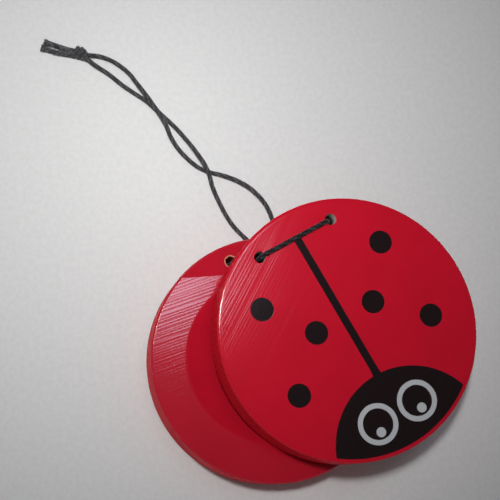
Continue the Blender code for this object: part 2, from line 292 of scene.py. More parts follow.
class SharedEffects:
    """Shader groups that more than one finish uses."""

    def __init__(self) -> None:
        """Build each group once."""
        self.grain = self._grain()
        self.disc_mask = self._disc_mask()

    @staticmethod
    def _grain() -> NodeTree:
        """Build the wood's grain: fine lines along one direction of a shell's face, and its pores.

        Returns:
            The group, whose lines wander a little and fade in places.
        """
        inputs = {
            "Place": ("Vector", None),
            "Angle": ("Float", 0.0),
            "Streak Width": ("Float", 0.30),
            "Streak Length": ("Float", 9.0),
            "Line Spacing": ("Float", 0.66),
            "Line Wander": ("Float", 1.2),
        }
        outputs = {"Streaks": "Float", "Pores": "Float"}
        bench, start, end = new_group("wood_grain", "ShaderNodeTree", inputs, outputs)
        take = start.outputs
        turned = bench.put(
            "ShaderNodeVectorRotate",
            {"rotation_type": "AXIS_ANGLE"},
            Vector=take["Place"],
            Axis=UP,
            Angle=take["Angle"],
        )
        size = bench.joined(take["Streak Length"], take["Streak Width"], take["Streak Width"])
        stretched = bench.vector("DIVIDE", turned, size)
        wander = bench.math("MULTIPLY", bench.noise(stretched, 0.22, 1.0), take["Line Wander"])
        across = bench.math("ADD", bench.axis(turned, "Y"), wander)
        turns = bench.math("DIVIDE", across, take["Line Spacing"])
        wave = bench.math("SINE", bench.math("MULTIPLY", turns, math.tau))
        broken = bench.ramp(bench.noise(stretched, 0.5, 1.0), 0.35, 0.55, 0.40, 1.0)
        streaks = bench.math("MULTIPLY_ADD", bench.math("MULTIPLY", wave, 0.5), broken, 0.5)
        pores = bench.ramp(bench.noise(stretched, 2.6, 0.0), 0.60, 0.72)
        bench.feed(end.inputs["Streaks"], streaks)
        bench.feed(end.inputs["Pores"], pores)
        return bench.tree

    @staticmethod
    def _disc_mask() -> NodeTree:
        """Build a round patch: 1 inside a circle on the face, with a soft edge.

        Returns:
            The group.
        """
        inputs = {
            "Place": ("Vector", None),
            "Centre": ("Vector", (0.0, 0.0, 0.0)),
            "Radius": ("Float", 1.0),
            "Ink Edge": ("Float", 0.05),
        }
        bench, start, end = new_group("disc_mask", "ShaderNodeTree", inputs, {"Inside": "Float"})
        flat = bench.vector("MULTIPLY", start.outputs["Place"], (1.0, 1.0, 0.0))
        away = bench.vector("DISTANCE", flat, start.outputs["Centre"], output="Value")
        beyond = bench.math("SUBTRACT", away, start.outputs["Radius"])
        share = bench.math("DIVIDE", beyond, start.outputs["Ink Edge"])
        bench.feed(end.inputs["Inside"], bench.ramp(share, -1.0, 1.0, 1.0, 0.0))
        return bench.tree

    def disc(
        self, bench: NodeBench, place: object, centre: Spot, radius: float, edge: float = 0.05
    ) -> NodeSocket:
        """Add one round patch to a material.

        Args:
            bench: The material's bench.
            place: The face's coordinates in millimetres.
            centre: The patch's middle.
            radius: Its radius.
            edge: Half the width of its soft edge.

        Returns:
            The patch's mask.
        """
        sizes = {"Centre": (*centre, 0.0), "Radius": radius, "Ink_Edge": edge}
        return place_group(bench, self.disc_mask, Place=place, **sizes).outputs["Inside"]


@dataclass(frozen=True)
class LadybirdPrint:
    """The figure printed on the front shell's outer face, in that face's own millimetres."""

    spots: tuple[Spot, ...] = (
        (-14.31, 12.16),
        (-6.64, 2.50),
        (-16.32, -6.91),
        (15.26, 12.60),
        (7.33, 2.43),
        (16.97, -6.00),
    )
    spot_radius: float = 2.47
    eyes: tuple[Spot, ...] = ((-4.73, -19.98), (5.05, -19.84))
    eye_radius: float = 4.32
    pupil_radius: float = 3.24
    glints: tuple[Spot, ...] = ((-4.98, -21.72), (5.21, -21.58))
    glint_radius: float = 1.03
    head_centre: Spot = (-0.19, -27.98)
    head_radius: float = 16.93
    head_to_rim: float = 26.9
    stripe_top: Spot = (-0.25, 18.85)
    stripe_foot: Spot = (0.26, -7.75)
    stripe_end: float = 22.1
    stripe_half_width: float = 0.84
    stripe_start: float = -13.0
    flare_from: float = -11.6
    flare_to: float = -9.6
    flare_width: float = 0.15
    ink_edge: float = 0.05
    ink: Colour = (0.0110, 0.0055, 0.0060, 1.0)
    white: Colour = (0.44, 0.45, 0.46, 1.0)

    def dress(
        self, bench: NodeBench, effects: SharedEffects, place: object
    ) -> tuple[NodeSocket, NodeSocket]:
        """Add the print's masks to a material.

        Args:
            bench: The material's bench.
            effects: The shared shader groups.
            place: The face's coordinates in millimetres.

        Returns:
            The mask of everything printed, and the mask of its white parts.
        """

        def disc(centre: Spot, radius: float) -> NodeSocket:
            """Return the mask of one printed circle."""
            return effects.disc(bench, place, centre, radius)

        printed = disc(self.spots[0], self.spot_radius)
        for spot in self.spots[1:]:
            printed = bench.math("MAXIMUM", printed, disc(spot, self.spot_radius))
        head = disc(self.head_centre, self.head_radius)
        head = bench.math("MINIMUM", head, disc((0.0, 0.0), self.head_to_rim))
        printed = bench.chain("MAXIMUM", printed, head, self._stripe(bench, place))
        white = None
        for eye, glint in zip(self.eyes, self.glints):
            ring, pupil = disc(eye, self.eye_radius), disc(eye, self.pupil_radius)
            ring = bench.math("SUBTRACT", ring, pupil, clamp=True)
            both = bench.math("MAXIMUM", ring, disc(glint, self.glint_radius))
            white = both if white is None else bench.math("MAXIMUM", white, both)
        return printed, white

    def _stripe(self, bench: NodeBench, place: object) -> NodeSocket:
        """Add the stripe down the back, which widens where it meets the head.

        Args:
            bench: The material's bench.
            place: The face's coordinates in millimetres.

        Returns:
            The stripe's mask.
        """
        parts = bench.add("ShaderNodeSeparateXYZ", Vector=place)
        x, y = parts.outputs["X"], parts.outputs["Y"]
        (top_x, top_y), (foot_x, foot_y) = self.stripe_top, self.stripe_foot
        slope = (foot_x - top_x) / (foot_y - top_y)
        along = bench.math("MULTIPLY_ADD", y, slope, top_x - slope * top_y)
        aside = bench.math("ABSOLUTE", bench.math("SUBTRACT", x, along))
        flare = bench.ramp(y, self.flare_from, self.flare_to, self.flare_width, 0.0)
        beyond = bench.math("SUBTRACT", aside, bench.math("ADD", flare, self.stripe_half_width))
        inside = bench.ramp(beyond, -self.ink_edge, self.ink_edge, 1.0, 0.0)
        above = bench.ramp(y, self.stripe_start, self.stripe_start + 0.1)
        foot, soft = self.stripe_end, self.ink_edge
        below = bench.ramp(y, foot - soft, foot + soft, 1.0, 0.0)
        return bench.math("MULTIPLY", inside, bench.math("MULTIPLY", above, below))


@dataclass(frozen=True)
class RedLacquer:
    """Clear gloss lacquer over red stained wood, with the grain still showing in its gloss."""

    name: str
    grain_angle: float
    edge_radius: float
    red: Colour = (0.51, 0.0047, 0.020, 1.0)
    deep_red: Colour = (0.40, 0.0033, 0.013, 1.0)
    print_on_it: LadybirdPrint | None = None
    # The rim's wall is painted a lighter red than the face: painted light.
    wall_red_painted_light: Colour = (0.72, 0.014, 0.030, 1.0)
    worn_wood: Colour = (0.62, 0.24, 0.16, 1.0)
    worn_holes: tuple[Spot, ...] = ()
    worn_ring: float = 1.42
    worn_edge: float = 0.12
    cloud_share: float = 0.35
    fleck_share: float = 0.12
    edge_shade: tuple[float, float] = (0.12, 0.03)
    print_reach: tuple[float, float] = (2.0, 2.5)
    grain_height: float = 0.0038
    peel_share: float = 0.25
    face_shine: float = 0.5
    wall_shine: float = 0.012
    streak_shine: tuple[float, float] = (0.55, 1.5)
    streak_roughness: tuple[float, float] = (0.135, 0.105)
    wall_roughness: float = 0.3
    grain_under_ink: float = 0.2

    def make(self, effects: SharedEffects) -> Material:
        """Build the material.

        Args:
            effects: The shared shader groups.

        Returns:
            The finished material.
        """
        material, bench, shader = new_material(self.name)
        place = bench.attribute("face_place", "Vector")
        grain = place_group(bench, effects.grain, Place=place, Angle=self.grain_angle)
        streaks = grain.outputs["Streaks"]
        cloud = bench.ramp(bench.noise(place, 0.09, 3.0, 0.6), 0.3, 0.75, 0.0, self.cloud_share)
        colour = bench.mix(cloud, self.red, self.deep_red)
        fleck = bench.math("MULTIPLY", grain.outputs["Pores"], self.fleck_share)
        colour = bench.mix(fleck, colour, self.deep_red)
        flat_place = bench.vector("MULTIPLY", place, (1.0, 1.0, 0.0))
        out = bench.vector("LENGTH", flat_place, output="Value")
        wall = bench.ramp(out, *(self.edge_radius - inward for inward in self.edge_shade))
        rough = bench.ramp(streaks, 0.0, 1.0, *self.streak_roughness)
        rough = bench.math("MULTIPLY_ADD", wall, self.wall_roughness, rough)
        shine = bench.math("MULTIPLY_ADD", wall, self.wall_shine - self.face_shine, self.face_shine)
        shine = bench.math("MULTIPLY", shine, bench.ramp(streaks, 0.0, 1.0, *self.streak_shine))
        # Mix the lighter red onto the rim's wall: painted light.
        colour = bench.mix(wall, colour, self.wall_red_painted_light)
        for centre in self.worn_holes:
            wear_and_painted_glint = effects.disc(bench, place, centre, self.worn_ring, self.worn_edge)
            colour = bench.mix(wear_and_painted_glint, colour, self.worn_wood)
        depth_of_grain = 1.0
        if self.print_on_it is not None:
            on_face = bench.ramp(bench.axis(place, "Z"), *self.print_reach, 1.0, 0.0)
            printed, white = self.print_on_it.dress(bench, effects, place)
            printed = bench.math("MULTIPLY", printed, on_face)
            white = bench.math("MULTIPLY", white, on_face)
            colour = bench.mix(printed, colour, self.print_on_it.ink)
            colour = bench.mix(white, colour, self.print_on_it.white)
            depth_of_grain = bench.math("MULTIPLY_ADD", printed, self.grain_under_ink - 1.0, 1.0)
        bench.feed(shader.inputs["Base Color"], colour)
        bench.feed(shader.inputs["Roughness"], rough)
        bench.feed(shader.inputs["Specular IOR Level"], shine)
        peel = bench.math("MULTIPLY", bench.noise(place, 1.1), self.peel_share)
        height = bench.math("MULTIPLY_ADD", streaks, depth_of_grain, peel)
        bench.bump(shader, height, self.grain_height * MM, 1.0)
        return material


@dataclass(frozen=True)
class BareWood:
    """The wood inside a drilled hole: bare and pale, or stained where the lacquer ran in, and darker deeper
    in as painted shade.
    """

    name: str = "bare_drilled_wood"
    pale: Colour = (0.90, 0.84, 0.78, 1.0)
    dark: Colour = (0.74, 0.66, 0.60, 1.0)
    # The colour deep in the hole: painted shade.
    hole_painted_shade: Colour = (0.06, 0.035, 0.03, 1.0)
    mouth: float = 0.0
    pale_to: float = 1.4
    hole_painted_shade_from: float = 4.0
    ring_height: float = 0.03

    def make(self) -> Material:
        """Build the material.

        Returns:
            The finished material.
        """
        material, bench, shader = new_material(self.name)
        place = bench.attribute("face_place", "Vector")
        rings = bench.noise(bench.vector("MULTIPLY", place, (0.6, 2.0, 5.0)), 1.3, 3.0, 0.6)
        colour = bench.mix(bench.ramp(rings, 0.3, 0.7), self.pale, self.dark)
        depth = bench.math("ABSOLUTE", bench.math("SUBTRACT", bench.axis(place, "Z"), self.mouth))
        # Darken the wood deeper in the hole: painted shade.
        colour = bench.mix(bench.ramp(depth, self.pale_to, self.hole_painted_shade_from), colour, self.hole_painted_shade)
        bench.feed(shader.inputs["Base Color"], colour)
        bench.feed(shader.inputs["Roughness"], bench.ramp(rings, 0.2, 0.8, 0.6, 0.8))
        bench.bump(shader, rings, self.ring_height * MM, 0.6)
        return material


@dataclass(frozen=True)
class BlackBraid:
    """Black polyester yarn with a faint gloss on each strand, and lighter grey specks on some strands as
    painted glints.
    """

    name: str = "black_braid"
    black: Colour = (0.030, 0.029, 0.032, 1.0)
    # The grey of the specks: painted glints.
    wear_and_painted_glint: Colour = (0.15, 0.15, 0.155, 1.0)
    sheen: float = 0.15
    sheen_roughness: float = 0.4
    fibre_height: float = 0.02

    def make(self) -> Material:
        """Build the material.

        Returns:
            The finished material.
        """
        material, bench, shader = new_material(self.name)
        place = bench.add("ShaderNodeTexCoord").outputs["Object"]
        fibre = bench.noise(place, 5200.0, 2.0, 0.6)
        # Lighter grey specks on the strands that the random share picks: painted glints.
        lit = bench.ramp(bench.attribute("strand_glint_share", "Fac"), 0.35, 0.85)
        share = bench.math("MULTIPLY", bench.ramp(fibre, 0.35, 0.65), lit)
        bench.feed(shader.inputs["Base Color"], bench.mix(share, self.black, self.wear_and_painted_glint))
        bench.feed(shader.inputs["Roughness"], bench.ramp(fibre, 0.2, 0.8, 0.32, 0.55))
        bench.feed(shader.inputs["Sheen Weight"], self.sheen)
        bench.feed(shader.inputs["Sheen Roughness"], self.sheen_roughness)
        bench.bump(shader, fibre, self.fibre_height * MM, 0.5)
        return material


def round_drop(distance: float, radius: float) -> float:
    """Return how far a rounded edge has fallen at a distance in from its wall.

    Args:
        distance: How far in from the wall.
        radius: The edge's rounding.

    Returns:
        The fall, nothing where the face is flat.
    """
    inside = min(1.0 - distance / radius, 1.0)
    if inside <= 0.0:
        return 0.0
    return radius * (1.0 - math.sqrt(1.0 - inside**2))


def circle_angles(count: int) -> list[float]:
    """Return evenly spaced angles round a whole turn."""
    return [math.tau * step / count for step in range(count)]


def quarter_angles(steps: int) -> list[float]:
    """Return evenly spaced angles from nothing to a right angle, with both ends."""
    return [math.pi / 2 * step / steps for step in range(steps + 1)]


def level(way: Vector) -> Vector:
    """Return the level direction of a way, one long."""
    return Vector((way.x, way.y, 0.0)).normalized()


def bevel_height(line: float) -> float:
    """Return how high a shell's bevel lies along a line that is this far from the middle."""
    return SHELL_THICKNESS - (line - RIDGE_LINE) * BEVEL_SLOPE


@dataclass
class Shell:
    """One castanet shell: a turned disc, dished, bevelled, drilled and lacquered."""

    name: str
    body: str
    radius: float
    holes_aside: float
    hole_line: float
    hollow_aside: float
    place: Matrix
    mirrored_face: bool
    thickness: float = SHELL_THICKNESS
    outer_round: float = 0.3
    roll_off: float = 0.13
    roll_reach: float = 0.95
    playing_round: float = 0.5
    hole_radius: float = 1.2
    mouth_round: float = 0.12
    hollow_radius: float = 17.8
    hollow_depth: float = 3.0
    lip_round: float = 3.0
    bevel_line: float = RIDGE_LINE
    bevel_slope: float = BEVEL_SLOPE
    bevel_blend: float = 0.22
    sides: int = 240
    hole_sides: int = 40
    inner_sides: int = 120
    edge_steps: int = 10
    mouth_steps: int = 5
    dish_steps: int = 24
    lip_steps: int = 8
    sanded_steps: int = 7
    flat_rings: tuple[float, ...] = (6.0, 12.0, 18.0)
    least_angle: float = 0.004
    slope_step: float = 0.004
    near_wall: float = 1e-3

    def __post_init__(self) -> None:
        """Work out the holes' places, and the dish from its width and depth."""
        places = [self.holes_aside + side.value * HOLE_SPACING / 2 for side in Side]
        self.hole_centres = [Vector((x, self.hole_line)) for x in places]
        self.dish_radius = (self.hollow_radius**2 + self.hollow_depth**2) / (2 * self.hollow_depth)
        self.dish_centre = self.thickness - self.hollow_depth + self.dish_radius
        lip_height = self.dish_centre - (self.thickness - self.lip_round)
        self.lip_reach = math.sqrt((self.dish_radius + self.lip_round) ** 2 - lip_height**2)
        self.lip_start = self.lip_reach * self.dish_radius / (self.dish_radius + self.lip_round)

    def _mouth_drop(self, x: float, y: float) -> float:
        """Return how far the nearest hole's rounded mouth has fallen at a point."""
        nearest = min((Vector((x, y)) - centre).length for centre in self.hole_centres)
        return round_drop(nearest - self.hole_radius, self.mouth_round)

    def _outer_height(self, x: float, y: float) -> float:
        """Return the outer face's height over its own flat.

        Args:
            x: The point's place across the shell.
            y: Its place toward the hinge side.

        Returns:
            The height.
        """
        inward = self.radius - math.hypot(x, y)
        sanded = self.roll_off * max(0.0, 1.0 - inward / self.roll_reach) ** 2
        return sanded + round_drop(inward, self.outer_round) + self._mouth_drop(x, y)

    def _playing_height(self, x: float, y: float) -> float:
        """Return the playing face's height: the flat rim less its bevel, hollow and rounded edges.

        Args:
            x: The point's place across the shell.
            y: Its place toward the hinge side.

        Returns:
            The height over the outer face's flat.
        """
        past = y - self.bevel_line
        if past >= self.bevel_blend:
            bevel = past
        elif past <= -self.bevel_blend:
            bevel = 0.0
        else:
            bevel = (past + self.bevel_blend) ** 2 / (4 * self.bevel_blend)
        height = self.thickness - bevel * self.bevel_slope
        out = math.hypot(x - self.hollow_aside, y)
        if out < self.lip_start:
            height -= self.thickness - (self.dish_centre - math.sqrt(self.dish_radius**2 - out**2))
        elif out < self.lip_reach:
            height -= self.lip_round - math.sqrt(self.lip_round**2 - (self.lip_reach - out) ** 2)
        height -= round_drop(self.radius - math.hypot(x, y), self.playing_round)
        return height - self._mouth_drop(x, y)

    def _height_of(self, face: Face) -> Callable[[float, float], float]:
        """Return the function that gives one face's height at a point."""
        return self._playing_height if face is Face.PLAYING else self._outer_height

    def _bevel_lines(self) -> list[float]:
        """Return where the lines lie that round off the bevel's ridge."""
        return [self.bevel_line + share * self.bevel_blend for share in (-1.0, -0.5, 0.0, 0.5, 1.0)]

    def _outer_angles(self) -> list[float]:
        """Return the angles of the rim's points, with the ends of the bevel's lines among them.

        Returns:
            The angles in order.
        """
        angles = circle_angles(self.sides)
        for line in self._bevel_lines():
            angle = math.asin(line / self.radius)
            for extra in (angle, math.pi - angle):
                angles = [a for a in angles if abs(a - extra) > self.least_angle] + [extra]
        return sorted(angles)

    def _rings(self, face: Face) -> list[Ring]:
        """Return the rings of one face.

        Args:
            face: Which face.

        Returns:
            A list of rings, each its middle's x and y, its radius and its angles.
        """
        angles = self._outer_angles()
        around = circle_angles(self.hole_sides)
        inner = circle_angles(self.inner_sides)
        edge = self.outer_round if face is Face.OUTER else self.playing_round
        rings = []
        for fall in quarter_angles(self.edge_steps):
            rings.append((0.0, 0.0, self.radius - edge * (1 - math.cos(fall)), angles))
        for centre in self.hole_centres:
            for fall in quarter_angles(self.mouth_steps):
                wide = self.hole_radius + self.mouth_round * (1 - math.cos(fall))
                rings.append((centre.x, centre.y, wide, around))
        if face is Face.PLAYING:
            for step in range(1, self.dish_steps + 1):
                wide = self.lip_start * step / self.dish_steps
                rings.append((self.hollow_aside, 0.0, wide, inner))
            for step in range(1, self.lip_steps + 1):
                wide = self.lip_start + (self.lip_reach - self.lip_start) * step / self.lip_steps
                rings.append((self.hollow_aside, 0.0, wide, angles))
            return rings
        for wide in self.flat_rings:
            rings.append((0.0, 0.0, wide, inner))
        for step in range(1, self.sanded_steps + 1):
            inward = self.outer_round + (self.roll_reach - self.outer_round) * step / self.sanded_steps
            rings.append((0.0, 0.0, self.radius - inward, angles))
        return rings

    def _flat_triangles(self, face: Face) -> tuple[list[Vector], list[tuple[int, ...]]]:
        """Cut one face into triangles that follow its rings and the bevel's lines.

        Args:
            face: Which face.

        Returns:
            The flat points and the triangles, without the holes.
        """
        points: list[Vector] = []
        edges: list[tuple[int, int]] = []
        for middle_x, middle_y, radius, angles in self._rings(face):
            first, count = len(points), len(angles)
            for angle in angles:
                x, y = middle_x + radius * math.cos(angle), middle_y + radius * math.sin(angle)
                points.append(Vector((x, y)))
            edges += [(first + step, first + (step + 1) % count) for step in range(count)]
        if face is Face.PLAYING:
            for line in self._bevel_lines():
                reach = math.sqrt(self.radius**2 - line**2)
                edges.append((len(points), len(points) + 1))
                points += [Vector((-reach, line)), Vector((reach, line))]
        points.append(Vector((self.hollow_aside if face is Face.PLAYING else 0.0, 0.0)))
        verts, _, faces, *_ = delaunay_2d_cdt(points, edges, [], 0, 1e-4)
        clear = self.hole_radius * 0.995
        kept = []
        for corners in faces:
            middle = sum((verts[index] for index in corners), Vector((0.0, 0.0))) / len(corners)
            if all((middle - centre).length > clear for centre in self.hole_centres):
                kept.append(tuple(corners))
        return list(verts), kept

    def _normal(self, face: Face, x: float, y: float) -> Vector:
        """Return the outward normal of one face at a point, from the face's own slope.

        Args:
            face: Which face.
            x: The point's place across the shell.
            y: Its place toward the hinge side.

        Returns:
            The normal, level at the rim and in the holes.
        """
        if math.hypot(x, y) > self.radius - self.near_wall:
            return Vector((x, y, 0.0)).normalized()
        for centre in self.hole_centres:
            aside = centre - Vector((x, y))
            if aside.length < self.hole_radius + self.near_wall:
                return Vector((aside.x, aside.y, 0.0)).normalized()
        height, step = self._height_of(face), self.slope_step
        slope_x = (height(x + step, y) - height(x - step, y)) / (2 * step)
        slope_y = (height(x, y + step) - height(x, y - step)) / (2 * step)
        up = Vector((-slope_x, -slope_y, 1.0)).normalized()
        return up if face is Face.PLAYING else -up

    def _edge_loops(self, flat: list[Vector], first: int) -> list[list[int]]:
        """Find the points on the rim and on each hole's wall, in order of angle.

        Args:
            flat: The face's flat points.
            first: The mesh index of its first point.

        Returns:
            The mesh indices of the rim's points, and of each hole's.
        """
        circles = [(Vector((0.0, 0.0)), self.radius)]
        circles += [(centre, self.hole_radius) for centre in self.hole_centres]
        loops = []
        for middle, radius in circles:
            found = []
            for index, point in enumerate(flat):
                out = point - middle
                if abs(out.length - radius) < 2 * self.near_wall:
                    found.append((round(math.atan2(out.y, out.x), 5), first + index))
            loops.append([index for _, index in sorted(found)])
        return loops

    @staticmethod
    def _wall(upper: list[int], lower: list[int], inward: bool) -> list[tuple[int, ...]]:
        """Join two rings of points by a wall of four-sided faces.

        Args:
            upper: The upper ring's points, in order of angle.
            lower: The lower ring's points.
            inward: Whether the wall faces its own middle, as a hole's does.

        Returns:
            The wall's faces.
        """
        quads = []
        for step in range(len(upper)):
            onward = (step + 1) % len(upper)
            quad = (upper[step], lower[step], lower[onward], upper[onward])
            quads.append(quad[::-1] if inward else quad)
        return quads

    def build(self, lacquer: Material, wood: Material) -> Object:
        """Build the shell as one closed mesh.

        Args:
            lacquer: The finish of the faces and the rim.
            wood: The finish inside the holes.

        Returns:
            The shell's object.
        """
        places: list[Vector] = []
        normals: list[Vector] = []
        faces: list[tuple[int, ...]] = []
        loops = {}
        for face in (Face.PLAYING, Face.OUTER):
            flat, triangles = self._flat_triangles(face)
            first, height = len(places), self._height_of(face)
            for point in flat:
                places.append(Vector((point.x, point.y, height(point.x, point.y))))
                normals.append(self._normal(face, point.x, point.y))
            for corners in triangles:
                shifted = tuple(first + index for index in corners)
                faces.append(shifted if face is Face.PLAYING else shifted[::-1])
            loops[face] = self._edge_loops(flat, first)
        (rim_upper, *uppers), (rim_lower, *lowers) = loops[Face.PLAYING], loops[Face.OUTER]
        faces += self._wall(rim_upper, rim_lower, False)
        wood_from = len(faces)
        for upper, lower in zip(uppers, lowers):
            faces += self._wall(upper, lower, True)
        mesh = bpy.data.meshes.new(self.name + "_turned")
        mesh.from_pydata([self.place @ point * MM for point in places], [], faces)
        mesh.materials.append(lacquer)
        mesh.materials.append(wood)
        for polygon in mesh.polygons:
            polygon.material_index = 1 if polygon.index >= wood_from else 0
        attribute = mesh.attributes.new("face_place", "FLOAT_VECTOR", "POINT")
        flip = -1.0 if self.mirrored_face else 1.0
        for index, point in enumerate(places):
            attribute.data[index].vector = (flip * point.x, point.y, point.z)
        mesh.shade_smooth()
        turn = self.place.to_3x3()
        mesh.normals_split_custom_set_from_vertices([turn @ normal for normal in normals])
        shell = new_object(self.name + "_lacquered", mesh)
        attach(shell, self.body)
        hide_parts(self.name)
        LOG.info("%s: %d faces", shell.name, len(mesh.polygons))
        return shell


@dataclass(frozen=True)
class Route:
    """A cord's route as points in millimetres, joined by one smooth curve."""

    points: tuple[Vector, ...]
    steps_between: int = 24

    def smooth(self, apart: float) -> list[Vector]:
        """Return evenly spaced points on the smooth curve, none below where the cord lies.

        Args:
            apart: The spacing wanted.

        Returns:
            The points, in millimetres.
        """
        ends = [self.points[0], *self.points, self.points[-1]]
        curve = [self.points[0]]
        for before, start, end, after in zip(ends, ends[1:], ends[2:], ends[3:]):
            third = (end - start).length / 3
            leave = start + self._direction(before, start, end) * third
            arrive = end - self._direction(start, end, after) * third
            curve += interpolate_bezier(start, leave, arrive, end, self.steps_between)[1:]
        lengths = [0.0]
        for a, b in zip(curve, curve[1:]):
            lengths.append(lengths[-1] + (b - a).length)
        count = max(2, round(lengths[-1] / apart))
        even = []
        index = 0
        for step in range(count + 1):
            target = lengths[-1] * step / count
            while index < len(curve) - 2 and lengths[index + 1] < target:
                index += 1
            share = (target - lengths[index]) / (lengths[index + 1] - lengths[index])
            point = curve[index].lerp(curve[index + 1], share)
            point.z = max(point.z, CORD_RADIUS)
            even.append(point)
        return even

    @staticmethod
    def _direction(before: Vector, here: Vector, after: Vector) -> Vector:
        """Return the smooth curve's direction at one of its points.

        Args:
            before: The point before, or the same one at the route's start.
            here: The point itself.
            after: The point after, or the same one at the route's end.

        Returns:
            The direction, about one long.
        """
        into, out = here - before, after - here
        if into.length == 0.0:
            return out.normalized()
        if out.length == 0.0:
            return into.normalized()
        both = into.normalized() * out.length + out.normalized() * into.length
        return both / (into.length + out.length)


def table_route(*points: Place) -> Route:
    """Return a route on the table from x, y and the lift as a share of one crossing."""
    return Route(tuple(Vector((x, y, CORD_RADIUS + lift * CROSSING_LIFT)) for x, y, lift in points))


class BraidLoom:
    """Braids cords along their routes with one Geometry Nodes tree."""

    def __init__(self, yarn: Material) -> None:
        """Build the tree.

        Args:
            yarn: The finish of every strand.
        """
        self.yarn = yarn
        self.tree = self._tree()

    @staticmethod
    def _tree() -> NodeTree:
        """Build the tree that lays strands in two crossing spirals round a core.

        Returns:
            The tree, whose strands spread apart over the frayed length and rest on the table.
        """
        inputs = {
            "Geometry": ("Geometry", None),
            "Cord Radius": ("Float", 0.00056),
            "Strand Radius": ("Float", 0.00017),
            "Weave Depth": ("Float", 0.00006),
            "Strands Each Way": ("Int", 4),
            "Pitch": ("Float", 0.0044),
            "Step": ("Float", 0.00012),
            "Phase": ("Float", 0.0),
            "Frayed Length": ("Float", 0.0),
            "Fray Spread": ("Float", 0.0),
            "Seed": ("Int", 7),
            "Yarn": ("Material", None),
        }
        bench, start, end = new_group("braided_cord", "GeometryNodeTree", inputs, {"Geometry": "Geometry"})
        take = start.outputs
        each_way, weave_depth = take["Strands Each Way"], take["Weave Depth"]
        line = bench.put("GeometryNodeMeshToCurve", Mesh=take["Geometry"])
        spine = bench.put("GeometryNodeResampleCurve", {"mode": "LENGTH"}, Curve=line, Length=take["Step"])
        amount = bench.math("MULTIPLY", each_way, 2)
        per_cord = {"domain": "SPLINE"}
        copies = bench.add("GeometryNodeDuplicateElements", per_cord, Geometry=spine, Amount=amount)
        number = copies.outputs["Duplicate Index"]

        def drawn(low: float, high: float) -> NodeSocket:
            """Draw one value for each strand."""
            of_strand = {"ID": number, "Seed": take["Seed"], "i2": low, "i3": high}
            return bench.add("FunctionNodeRandomValue", {"data_type": "FLOAT"}, **of_strand).outputs[1]

        way = bench.math("MULTIPLY_ADD", bench.math("MODULO", number, 2), -2, 1)
        pair = bench.math("FLOOR", bench.math("DIVIDE", number, 2))
        begin = bench.math("MULTIPLY", bench.math("DIVIDE", pair, each_way), math.tau)
        length = bench.add("GeometryNodeSplineParameter").outputs["Length"]
        along = bench.math("ADD", length, take["Phase"])
        spin = bench.math("DIVIDE", bench.math("MULTIPLY", along, math.tau), take["Pitch"])
        angle = bench.math("MULTIPLY_ADD", spin, way, begin)
        weave = bench.math("COSINE", bench.math("MULTIPLY", spin, each_way))
        weave = bench.chain("MULTIPLY", weave, way, weave_depth)
        middle = bench.chain("SUBTRACT", take["Cord Radius"], take["Strand Radius"], weave_depth)
        whole = bench.add("GeometryNodeSplineLength").outputs["Length"]
        fray = bench.math("ADD", take["Frayed Length"], 1e-9)
        closed = bench.math("DIVIDE", bench.math("SUBTRACT", whole, length), fray, clamp=True)
        opened = bench.math("POWER", bench.math("SUBTRACT", 1.0, closed), 1.6)
        spread = bench.chain("MULTIPLY", opened, take["Fray Spread"], drawn(0.3, 1.3))
        away = bench.chain("ADD", middle, weave, spread)

        def scaled(operation: str, side: NodeSocket) -> NodeSocket:
            """Return a strand's reach along one of the cord's two sides."""
            reach = bench.math("MULTIPLY", bench.math(operation, angle), away)
            return bench.put("ShaderNodeVectorMath", {"operation": "SCALE"}, Vector=side, Scale=reach)

        normal = bench.put("GeometryNodeInputNormal")
        across = bench.vector("CROSS_PRODUCT", bench.put("GeometryNodeInputTangent"), normal)
        offset = bench.vector("ADD", scaled("COSINE", normal), scaled("SINE", across))
        laid = bench.put("GeometryNodeSetPosition", Geometry=copies.outputs[0], Offset=offset)
        floor = bench.joined(-1.0, -1.0, take["Strand Radius"])
        rested = bench.vector("MAXIMUM", bench.put("GeometryNodeInputPosition"), floor)
        laid = bench.put("GeometryNodeSetPosition", Geometry=laid, Position=rested)
        # A random share for each strand, which picks the strands that get painted glints.
        shaded = bench.put(
            "GeometryNodeStoreNamedAttribute",
            {"data_type": "FLOAT", "domain": "POINT"},
            Geometry=laid,
            Name="strand_glint_share",
            Value=drawn(0.0, 1.0),
        )
        ring = bench.put("GeometryNodeCurvePrimitiveCircle", Resolution=6, Radius=take["Strand Radius"])
        strands = bench.put("GeometryNodeCurveToMesh", Curve=shaded, Profile_Curve=ring, Fill_Caps=True)
        core_ring = bench.put("GeometryNodeCurvePrimitiveCircle", Resolution=10, Radius=middle)
        core = bench.put("GeometryNodeCurveToMesh", Curve=spine, Profile_Curve=core_ring, Fill_Caps=True)
        join = bench.add("GeometryNodeJoinGeometry")
        bench.feed(join.inputs[0], strands)
        bench.feed(join.inputs[0], core)
        real = bench.put("GeometryNodeRealizeInstances", Geometry=join.outputs[0])
        smooth = bench.put("GeometryNodeSetShadeSmooth", Geometry=real)
        dressed = bench.put("GeometryNodeSetMaterial", Geometry=smooth, Material=take["Yarn"])
        bench.feed(end.inputs["Geometry"], dressed)
        return bench.tree

